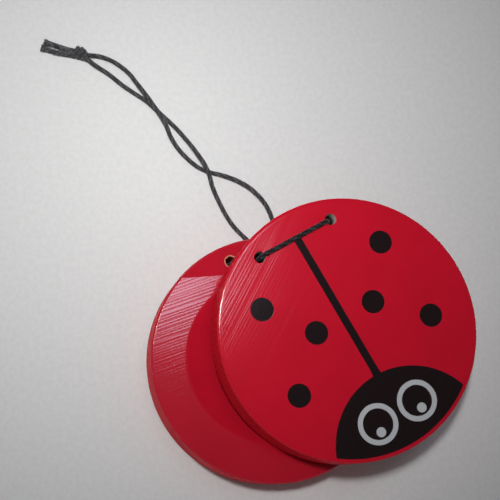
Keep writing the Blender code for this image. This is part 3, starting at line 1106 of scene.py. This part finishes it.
    def braid(self, name: str, path: list[Vector], **sizes: object) -> Object:
        """Braid one cord along a path.

        Args:
            name: The piece's name.
            path: Close points along the cord's middle, in millimetres.
            sizes: The tree's inputs that differ from its defaults, by name with _ for a space.

        Returns:
            The cord as a plain mesh object.
        """
        mesh = bpy.data.meshes.new(name + "_line")
        joins = [(step, step + 1) for step in range(len(path) - 1)]
        mesh.from_pydata([point * MM for point in path], joins, [])
        piece = new_object(name, mesh)
        loom = piece.modifiers.new("braid", "NODES")
        loom.node_group = self.tree
        items = self.tree.interface.items_tree
        sockets = {item.name: item.identifier for item in items if item.in_out == "INPUT"}
        for label, value in {"Yarn": self.yarn, **sizes}.items():
            loom[sockets[label.replace("_", " ")]] = value
        finished = piece.evaluated_get(bpy.context.evaluated_depsgraph_get())
        woven = bpy.data.meshes.new_from_object(finished)
        piece.modifiers.remove(loom)
        piece.data = woven
        bpy.data.meshes.remove(mesh)
        woven.name = name
        LOG.info("%s: %d faces", name, len(woven.polygons))
        return piece


@dataclass
class Lacing:
    """The one cord: over the front shell, down through both shells, and out to the loop's knot."""

    loom: BraidLoom
    # A darker copy of the yarn for the bridge and the links: painted shade.
    painted_shade_yarn: Material
    strand_a: Route = table_route(
        (-1.57, 24.50, 0.0), (-2.47, 27.50, 0.0), (-2.87, 30.10, 0.0), (-3.30, 31.69, 0.1),
        (-4.20, 33.62, 0.2), (-5.73, 35.71, 0.4), (-7.88, 37.76, 0.5), (-10.84, 39.61, 0.4),
        (-13.66, 40.86, 0.1), (-16.47, 41.77, 0.0), (-18.20, 42.71, 0.0), (-20.53, 44.83, 0.0),
        (-22.47, 47.20, 0.1), (-23.97, 49.90, 0.4), (-25.17, 53.40, 0.9), (-26.07, 55.30, 1.0),
        (-27.40, 57.51, 1.0), (-28.71, 59.81, 1.0), (-30.57, 63.03, 0.5), (-32.17, 65.72, 0.1),
        (-33.77, 67.40, 0.0), (-35.79, 68.92, 0.0), (-38.61, 70.05, 0.2), (-41.23, 70.34, 0.5),
    )
    strand_b: Route = table_route(
        (-8.27, 24.50, 0.0), (-9.57, 26.00, 0.0), (-11.27, 28.00, 0.0), (-12.75, 30.36, 0.0),
        (-14.39, 34.06, 0.2), (-15.77, 37.90, 0.6), (-16.47, 41.30, 1.0), (-17.46, 43.81, 1.0),
        (-18.60, 46.05, 0.7), (-20.23, 48.87, 0.2), (-22.67, 52.30, 0.0), (-24.97, 54.90, 0.0),
        (-27.37, 57.50, 0.0), (-28.67, 58.90, 0.0), (-31.37, 61.00, 0.0), (-34.07, 63.20, 0.0),
        (-36.67, 65.70, 0.0), (-39.47, 67.80, 0.2), (-41.72, 69.68, 0.5),
    )
    tail_a: Route = table_route(
        (-44.25, 71.45, 0.5), (-45.82, 72.05, 0.1), (-47.57, 72.80, 0.0), (-50.68, 74.00, 0.0)
    )
    tail_b: Route = table_route(
        (-44.35, 70.50, 0.5), (-45.97, 70.88, 0.1), (-47.62, 71.26, 0.0), (-51.40, 72.66, 0.0)
    )
    under_left: Route = table_route(
        (-13.17, 19.3, 0.0), (-11.37, 19.6, 0.0), (-9.57, 20.2, 0.0), (-8.27, 21.3, 0.0), (-7.67, 22.8, 0.0)
    )
    under_right: Route = table_route((1.03, 21.4, 0.0))
    loop_step: float = 0.5
    hidden_step: float = 0.3
    knot_step: float = 0.2
    hole_hug: float = 0.65
    bridge_gap: float = 0.05
    bridge_bend: float = 1.0
    bridge_lead: float = 1.2
    bridge_arm: float = 8.5
    link_bend: float = 0.9
    link_drop: float = 1.2
    link_on_bevel: float = 0.58
    link_in_front: float = 0.4
    link_in_rear: float = 2.4
    rear_bend: float = 1.35
    rear_top: float = 2.2
    rear_foot: float = 2.7
    rear_straight: float = 2.5
    loop_lead: float = 1.2
    loop_overlap: float = 0.2
    tail_radius: float = 0.68
    fray_spread: float = 0.3
    knot_radius: float = 0.50
    knot_centre: Place = (-42.90, 70.85, 1.2)
    knot_turn: float = math.radians(-16)
    knot_half_wide: float = 1.12
    knot_half_high: float = 0.70
    knot_apart: float = 0.45
    wrap_start: float = -1.05
    wrap_shift: float = 0.95
    wrap_length: float = 1.15
    wrap_angles: tuple[float, float] = (-70.0, 450.0)
    wrap_steps: int = 10

    def build(self) -> None:
        """Braid every stretch of the cord and say what it rides on."""
        tails = [
            self._tail("cord_tail_a", self.tail_a, 1.6, 3),
            self._tail("cord_tail_b", self.tail_b, 2.2, 5),
        ]
        knot = self._knot()
        path_a = self.strand_a.smooth(self.loop_step)
        path_b = self.strand_b.smooth(self.loop_step)
        strand_a = self._stretch("cord_strand_a", path_a, Phase=0.0004)
        strand_b = self._stretch("cord_strand_b", path_b, Phase=0.0011)
        self._declare(strand_a, path_a, [knot, *tails])
        self._declare(strand_b, path_b, [])
        for side in Side:
            self._link(side)
            self._way_out(side)
        self._bridge()

    def _stretch(self, node: str, path: list[Vector], body: str = "rear", **sizes: object) -> Object:
        """Braid one stretch that rides on a body in place of a CAD node.

        Args:
            node: The CAD node.
            path: Close points along the stretch, in millimetres.
            body: The body that it rides on, or nothing where it rides between two.
            sizes: The loom's inputs that differ from its defaults.

        Returns:
            The stretch's object.
        """
        piece = self.loom.braid(node + "_braid", path, **sizes)
        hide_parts(node)
        if body:
            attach(piece, body)
        return piece

    def _tail(self, node: str, route: Route, frayed: float, seed: int) -> Object:
        """Braid one tail, fuller than the rest of the cord and frayed at its end.

        Args:
            node: The CAD node.
            route: The tail's route.
            frayed: How much of its end is frayed.
            seed: What its strands' spread is drawn from.

        Returns:
            The tail's object.
        """
        path = route.smooth(self.hidden_step)
        fray = {"Frayed_Length": frayed * MM, "Fray_Spread": self.fray_spread * MM, "Seed": seed}
        return self._stretch(node, path, Cord_Radius=self.tail_radius * MM, **fray)

    @staticmethod
    def _declare(piece: Object, path: list[Vector], others: list[Object]) -> None:
        """Add up one strand's length along its points; the length is not used.

        Args:
            piece: The strand's object; not used.
            path: Its points, in millimetres.
            others: The separate pieces on it; not used.
        """
        length = sum((b - a).length for a, b in zip(path, path[1:]))

    @staticmethod
    def _mouths(side: Side) -> tuple[Vector, Vector]:
        """Return the middles of a side's holes on both playing faces, in the stand's frame.

        Args:
            side: Which side.

        Returns:
            The front shell's hole and the rear shell's.
        """
        aside = side.value * HOLE_SPACING / 2
        front = Vector((FRONT_HOLES_ASIDE - aside, FRONT_HOLE_LINE, bevel_height(FRONT_HOLE_LINE)))
        rear = Vector((REAR_HOLES_ASIDE + aside, REAR_HOLE_LINE, bevel_height(REAR_HOLE_LINE)))
        return FRONT_IN_STAND @ front, rear

    def _across(self) -> Vector:
        """Return the level direction from the front shell's left hole to its right one."""
        return level(self._mouths(Side.RIGHT)[0] - self._mouths(Side.LEFT)[0])

    def _link_ends(self, side: Side) -> tuple[Vector, Vector]:
        """Return where the pulled cord leaves one side's front hole and enters its rear one.

        Args:
            side: Which side.

        Returns:
            Both places on the playing faces, in the stand's frame.
        """
        front, rear = self._mouths(side)
        front -= self._across() * side.value * self.hole_hug
        return front, rear + level(front - rear) * self.hole_hug

    @staticmethod
    def _bend(corner: Vector, along: Vector, into: Vector, radius: float) -> list[Vector]:
        """Return a quarter bend from a run along one way to the way into a hole.

        Args:
            corner: Where both ways would meet.
            along: The way along the run, away from the corner.
            into: The way into the hole.
            radius: The bend's radius.

        Returns:
            Five points, from the run to the hole.
        """
        centre = corner + (along + into) * radius
        points = []
        for angle in quarter_angles(4):
            points.append(centre - (into * math.cos(angle) + along * math.sin(angle)) * radius)
        return points

    def _hidden_path(self, points: list[Vector]) -> list[Vector]:
        """Return close points along a route that is given in the stand's frame."""
        return Route(tuple(STAND @ point for point in points)).smooth(self.hidden_step)

    def _bridge(self) -> None:
        """Braid the stretch over the front shell's outer face, with an arm down each hole."""
        across = self._across()
        height = FRONT_LIFT + self.bridge_gap + CORD_RADIUS
        corners = []
        for side in Side:
            hole = self._mouths(side)[0]
            corners.append(Vector((hole.x, hole.y, height)) - across * side.value * self.hole_hug)
        left, right = corners
        start = self._bend(left, across, -UP, self.bridge_bend)
        end = self._bend(right, -across, -UP, self.bridge_bend)
        lead, arm = across * self.bridge_lead, UP * self.bridge_arm
        points = [left - arm, *start[::-1], start[0] + lead, end[0] - lead, *end, right - arm]
        path = self._hidden_path(points)
        self._stretch("cord_front_bridge", path, "front", Phase=0.0002, Yarn=self.painted_shade_yarn)

    def _link(self, side: Side) -> None:
        """Braid one side's link between the shells.

        The left link lies on the rear shell's bevel, and the right one crosses from higher up.

        Args:
            side: Which side.
        """
        front, rear = self._link_ends(side)
        toward = level(front - rear)
        middle = (front.z + rear.z) / 2
        leave_height, arrive_height = middle + self.link_drop, middle
        if side is Side.LEFT:
            leave_height, arrive_height = middle, rear.z + self.link_on_bevel
        leave = self._bend(Vector((front.x, front.y, leave_height)), -toward, UP, self.link_bend)
        arrive = self._bend(Vector((rear.x, rear.y, arrive_height)), toward, -UP, self.link_bend)
        top, foot = front + UP * self.link_in_front, rear - UP * self.link_in_rear
        path = self._hidden_path([top, *leave[::-1], *arrive, foot])
        node = f"cord_link_{side.name.lower()}"
        link = self._stretch(node, path, "", Phase=0.0007, Yarn=self.painted_shade_yarn)
        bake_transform(link)

    def _way_out(self, side: Side) -> None:
        """Braid one side's way down the rear shell's hole and out under it to the loop.

        Args:
            side: Which side.
        """
        under, strand = self.under_right.points, self.strand_a.points
        if side is Side.LEFT:
            under, strand = self.under_left.points, self.strand_b.points
        lean = (STAND.to_3x3() @ UP).normalized()
        top = STAND @ (self._link_ends(side)[1] - UP * self.rear_top)
        foot = STAND @ (self._mouths(side)[1] - UP * self.rear_foot)
        corner = foot - lean * ((foot.z - CORD_RADIUS) / lean.z)
        bend = self._bend(corner, level(under[0] - corner), lean, self.rear_bend)
        outward = (strand[0] - strand[1]).normalized()
        ends = [strand[0] + outward * self.loop_lead, strand[0] - outward * self.loop_overlap]
        points = [top, bend[-1] + lean * self.rear_straight, *bend[::-1], *under, *ends]
        path = Route(tuple(points)).smooth(self.hidden_step)
        self._stretch(f"cord_rear_{side.name.lower()}", path, "rear", Phase=0.0009)

    def _knot(self) -> Object:
        """Braid the knot: both cords go through it, wrap back over themselves and leave as the tails.

        Returns:
            The knot's object.
        """
        turn = Matrix.Translation(self.knot_centre) @ Matrix.Rotation(self.knot_turn, 4, "Z")
        ends = ((self.strand_a, self.tail_a), (self.strand_b, self.tail_b))
        first_angle, sweep = self.wrap_angles
        cords = []
        for number, (strand, tail) in enumerate(ends):
            aside = self.knot_apart * (1 - 2 * number)
            inside = [Vector((1.0, aside, 0.0)), Vector((-0.9, aside * 0.5, 0.0))]
            for step in range(self.wrap_steps + 1):
                share = step / self.wrap_steps
                angle = math.radians(first_angle + sweep * share)
                along = self.wrap_start + self.wrap_shift * number + self.wrap_length * share
                wide, high = self.knot_half_wide * math.sin(angle), self.knot_half_high * math.cos(angle)
                inside.append(Vector((along, wide, high)))
            inside.append(Vector((-1.0, aside, 0.0)))
            route = [strand.points[-1], *(turn @ point for point in inside), tail.points[0]]
            cords.append(Route(tuple(route)).smooth(self.knot_step))
        radius = self.knot_radius * MM
        piece = self.loom.braid("cord_knot_tied", cords[0], Cord_Radius=radius)
        other = self.loom.braid("cord_knot_second", cords[1], Cord_Radius=radius, Phase=0.0006)
        with bpy.context.temp_override(active_object=piece, selected_editable_objects=[piece, other]):
            bpy.ops.object.join()
        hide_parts("cord_knot")
        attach(piece, "rear")
        return piece


@dataclass(frozen=True)
class SoftLight:
    """One oval area light, in metres and watts."""

    name: str
    place: Place
    target: Place
    wide: float
    hole_painted_shade: float
    power: float
    spread: float = 180.0
    tint: Place = (1.0, 1.0, 1.0)
    shows_in_gloss: bool = True
    lights_matt: bool = True

    def build(self) -> None:
        """Add the light, turned to its target."""
        data = bpy.data.lights.new(self.name, "AREA")
        data.shape = "ELLIPSE"
        data.size = self.wide
        data.size_y = self.hole_painted_shade
        data.spread = math.radians(self.spread)
        data.energy = self.power
        data.color = self.tint
        light = new_object(self.name, data)
        light.location = self.place
        away = Vector(self.place) - Vector(self.target)
        light.rotation_euler = away.to_track_quat("Z", "Y").to_euler()
        light.visible_glossy = self.shows_in_gloss
        light.visible_diffuse = self.lights_matt


@dataclass(frozen=True)
class Studio:
    """The table, the lights and the camera, in metres."""

    camera_place: Place = (-0.064035, -0.032285, 0.27883)
    image_right: Place = (0.97922, -0.10377, 0.17422)
    image_up: Place = (0.0665, 0.97597, 0.20752)
    image_back: Place = (-0.19157, -0.19163, 0.96259)
    lens: float = 92.91
    sensor_width: float = 36.0
    table_reach: float = 1.2
    table_roughness: float = 0.7
    table_tones: tuple[Colour, Colour] = ((0.60, 0.60, 0.59, 1.0), (0.64, 0.64, 0.63, 1.0))
    room_tones: tuple[Colour, Colour] = ((0.30, 0.30, 0.31, 1.0), (0.05, 0.05, 0.052, 1.0))
    lamp: SoftLight = SoftLight(
        "lamp", (-0.089, 0.038, 0.425), (-0.026, 0.050, 0.0),
        wide=0.045, hole_painted_shade=0.016, power=0.071, spread=36.0, shows_in_gloss=False,
    )
    ceiling: SoftLight = SoftLight(
        "ceiling", (0.0467, 0.1312, 0.600), (0.0467, 0.1312, 0.0),
        wide=0.095, hole_painted_shade=0.150, power=0.165, tint=(0.95, 1.0, 1.25),
    )
    fill: SoftLight = SoftLight(
        "fill", (0.000, 0.100, 0.600), (-0.020, 0.020, 0.0),
        wide=0.200, hole_painted_shade=0.200, power=0.125, shows_in_gloss=False,
    )
    window: SoftLight = SoftLight(
        "window", (-0.089, 0.110, 0.600), (-0.020, 0.005, 0.0),
        wide=0.060, hole_painted_shade=0.060, power=0.45, lights_matt=False,
    )

    def build(self) -> None:
        """Set up the camera, the table, the room and the lights.

        The lamp throws the crisp shadow, the ceiling light and the window glare in the lacquer, and
        the fill softens the shadow.
        """
        self._camera()
        self._table()
        self._surround()
        for light in (self.lamp, self.ceiling, self.fill, self.window):
            light.build()
        bpy.context.scene.view_settings.view_transform = "Standard"

    def _camera(self) -> None:
        """Add the camera at the photograph's place."""
        data = bpy.data.cameras.new("camera")
        data.lens = self.lens
        data.sensor_width = self.sensor_width
        data.clip_start = 0.01
        camera = new_object("camera", data)
        turn = Matrix((self.image_right, self.image_up, self.image_back)).transposed()
        camera.matrix_world = Matrix.Translation(self.camera_place) @ turn.to_4x4()
        bpy.context.scene.camera = camera

    def _table(self) -> None:
        """Add the plain pale table."""
        mesh = bpy.data.meshes.new("table")
        reach = self.table_reach
        corners = [(-reach, -reach, 0), (reach, -reach, 0), (reach, reach, 0), (-reach, reach, 0)]
        mesh.from_pydata(corners, [], [(0, 1, 2, 3)])
        table = new_object("table", mesh)
        material, bench, shader = new_material("pale_table")
        place = bench.add("ShaderNodeTexCoord").outputs["Object"]
        mottle = bench.ramp(bench.noise(place, 900.0, 3.0, 0.6), 0.3, 0.7)
        bench.feed(shader.inputs["Base Color"], bench.mix(mottle, *self.table_tones))
        bench.feed(shader.inputs["Roughness"], self.table_roughness)
        mesh.materials.append(material)

    def _surround(self) -> None:
        """Add a dim room that is darkest overhead."""
        world = bpy.data.worlds.new("surround")
        world.use_nodes = True
        bench = NodeBench(world.node_tree)
        way = bench.add("ShaderNodeTexCoord").outputs["Generated"]
        room = bench.mix(bench.ramp(bench.axis(way, "Z"), 0.2, 0.85), *self.room_tones)
        bench.feed(world.node_tree.nodes["Background"].inputs[0], room)
        bpy.context.scene.world = world


def main() -> None:
    """Build the studio, the cord and both shells over the CAD frame."""
    logging.basicConfig(level=logging.INFO, format="%(message)s")
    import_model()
    Studio().build()
    # A darker copy of the braid with dimmer specks, for the stretches over the front shell and down the
    # holes: painted shade.
    shaded_braid = BlackBraid("black_braid_painted_shade", (0.004, 0.003, 0.004, 1.0), (0.085, 0.08, 0.085, 1.0))
    Lacing(BraidLoom(BlackBraid().make()), shaded_braid.make()).build()
    effects = SharedEffects()
    front = Shell(
        "front_shell", "front", 27.75, FRONT_HOLES_ASIDE, FRONT_HOLE_LINE, 0.0, STAND @ FRONT_IN_STAND, True
    )
    front_finish = RedLacquer(
        "printed_red_lacquer", math.radians(-33), front.radius, print_on_it=LadybirdPrint()
    )
    front.build(front_finish.make(effects), BareWood().make())
    rear = Shell("rear_shell", "rear", 26.5, REAR_HOLES_ASIDE, REAR_HOLE_LINE, -1.0, STAND, False)
    rear_finish = RedLacquer(
        "plain_red_lacquer",
        math.radians(-15),
        rear.radius,
        red=(0.43, 0.0065, 0.021, 1.0),
        deep_red=(0.33, 0.0040, 0.013, 1.0),
        worn_holes=tuple(tuple(centre) for centre in rear.hole_centres),
        face_shine=0.62,
    )
    # Stained red in the rear shell's holes, and darker deeper in as painted shade.
    stained = BareWood(
        "stained_drilled_wood",
        pale=(0.75, 0.30, 0.22, 1.0),
        dark=(0.60, 0.12, 0.10, 1.0),
        hole_painted_shade=(0.55, 0.08, 0.07, 1.0),
        mouth=9.2,
    )
    rear.build(rear_finish.make(effects), stained.make())


if __name__ == "__main__":
    main()
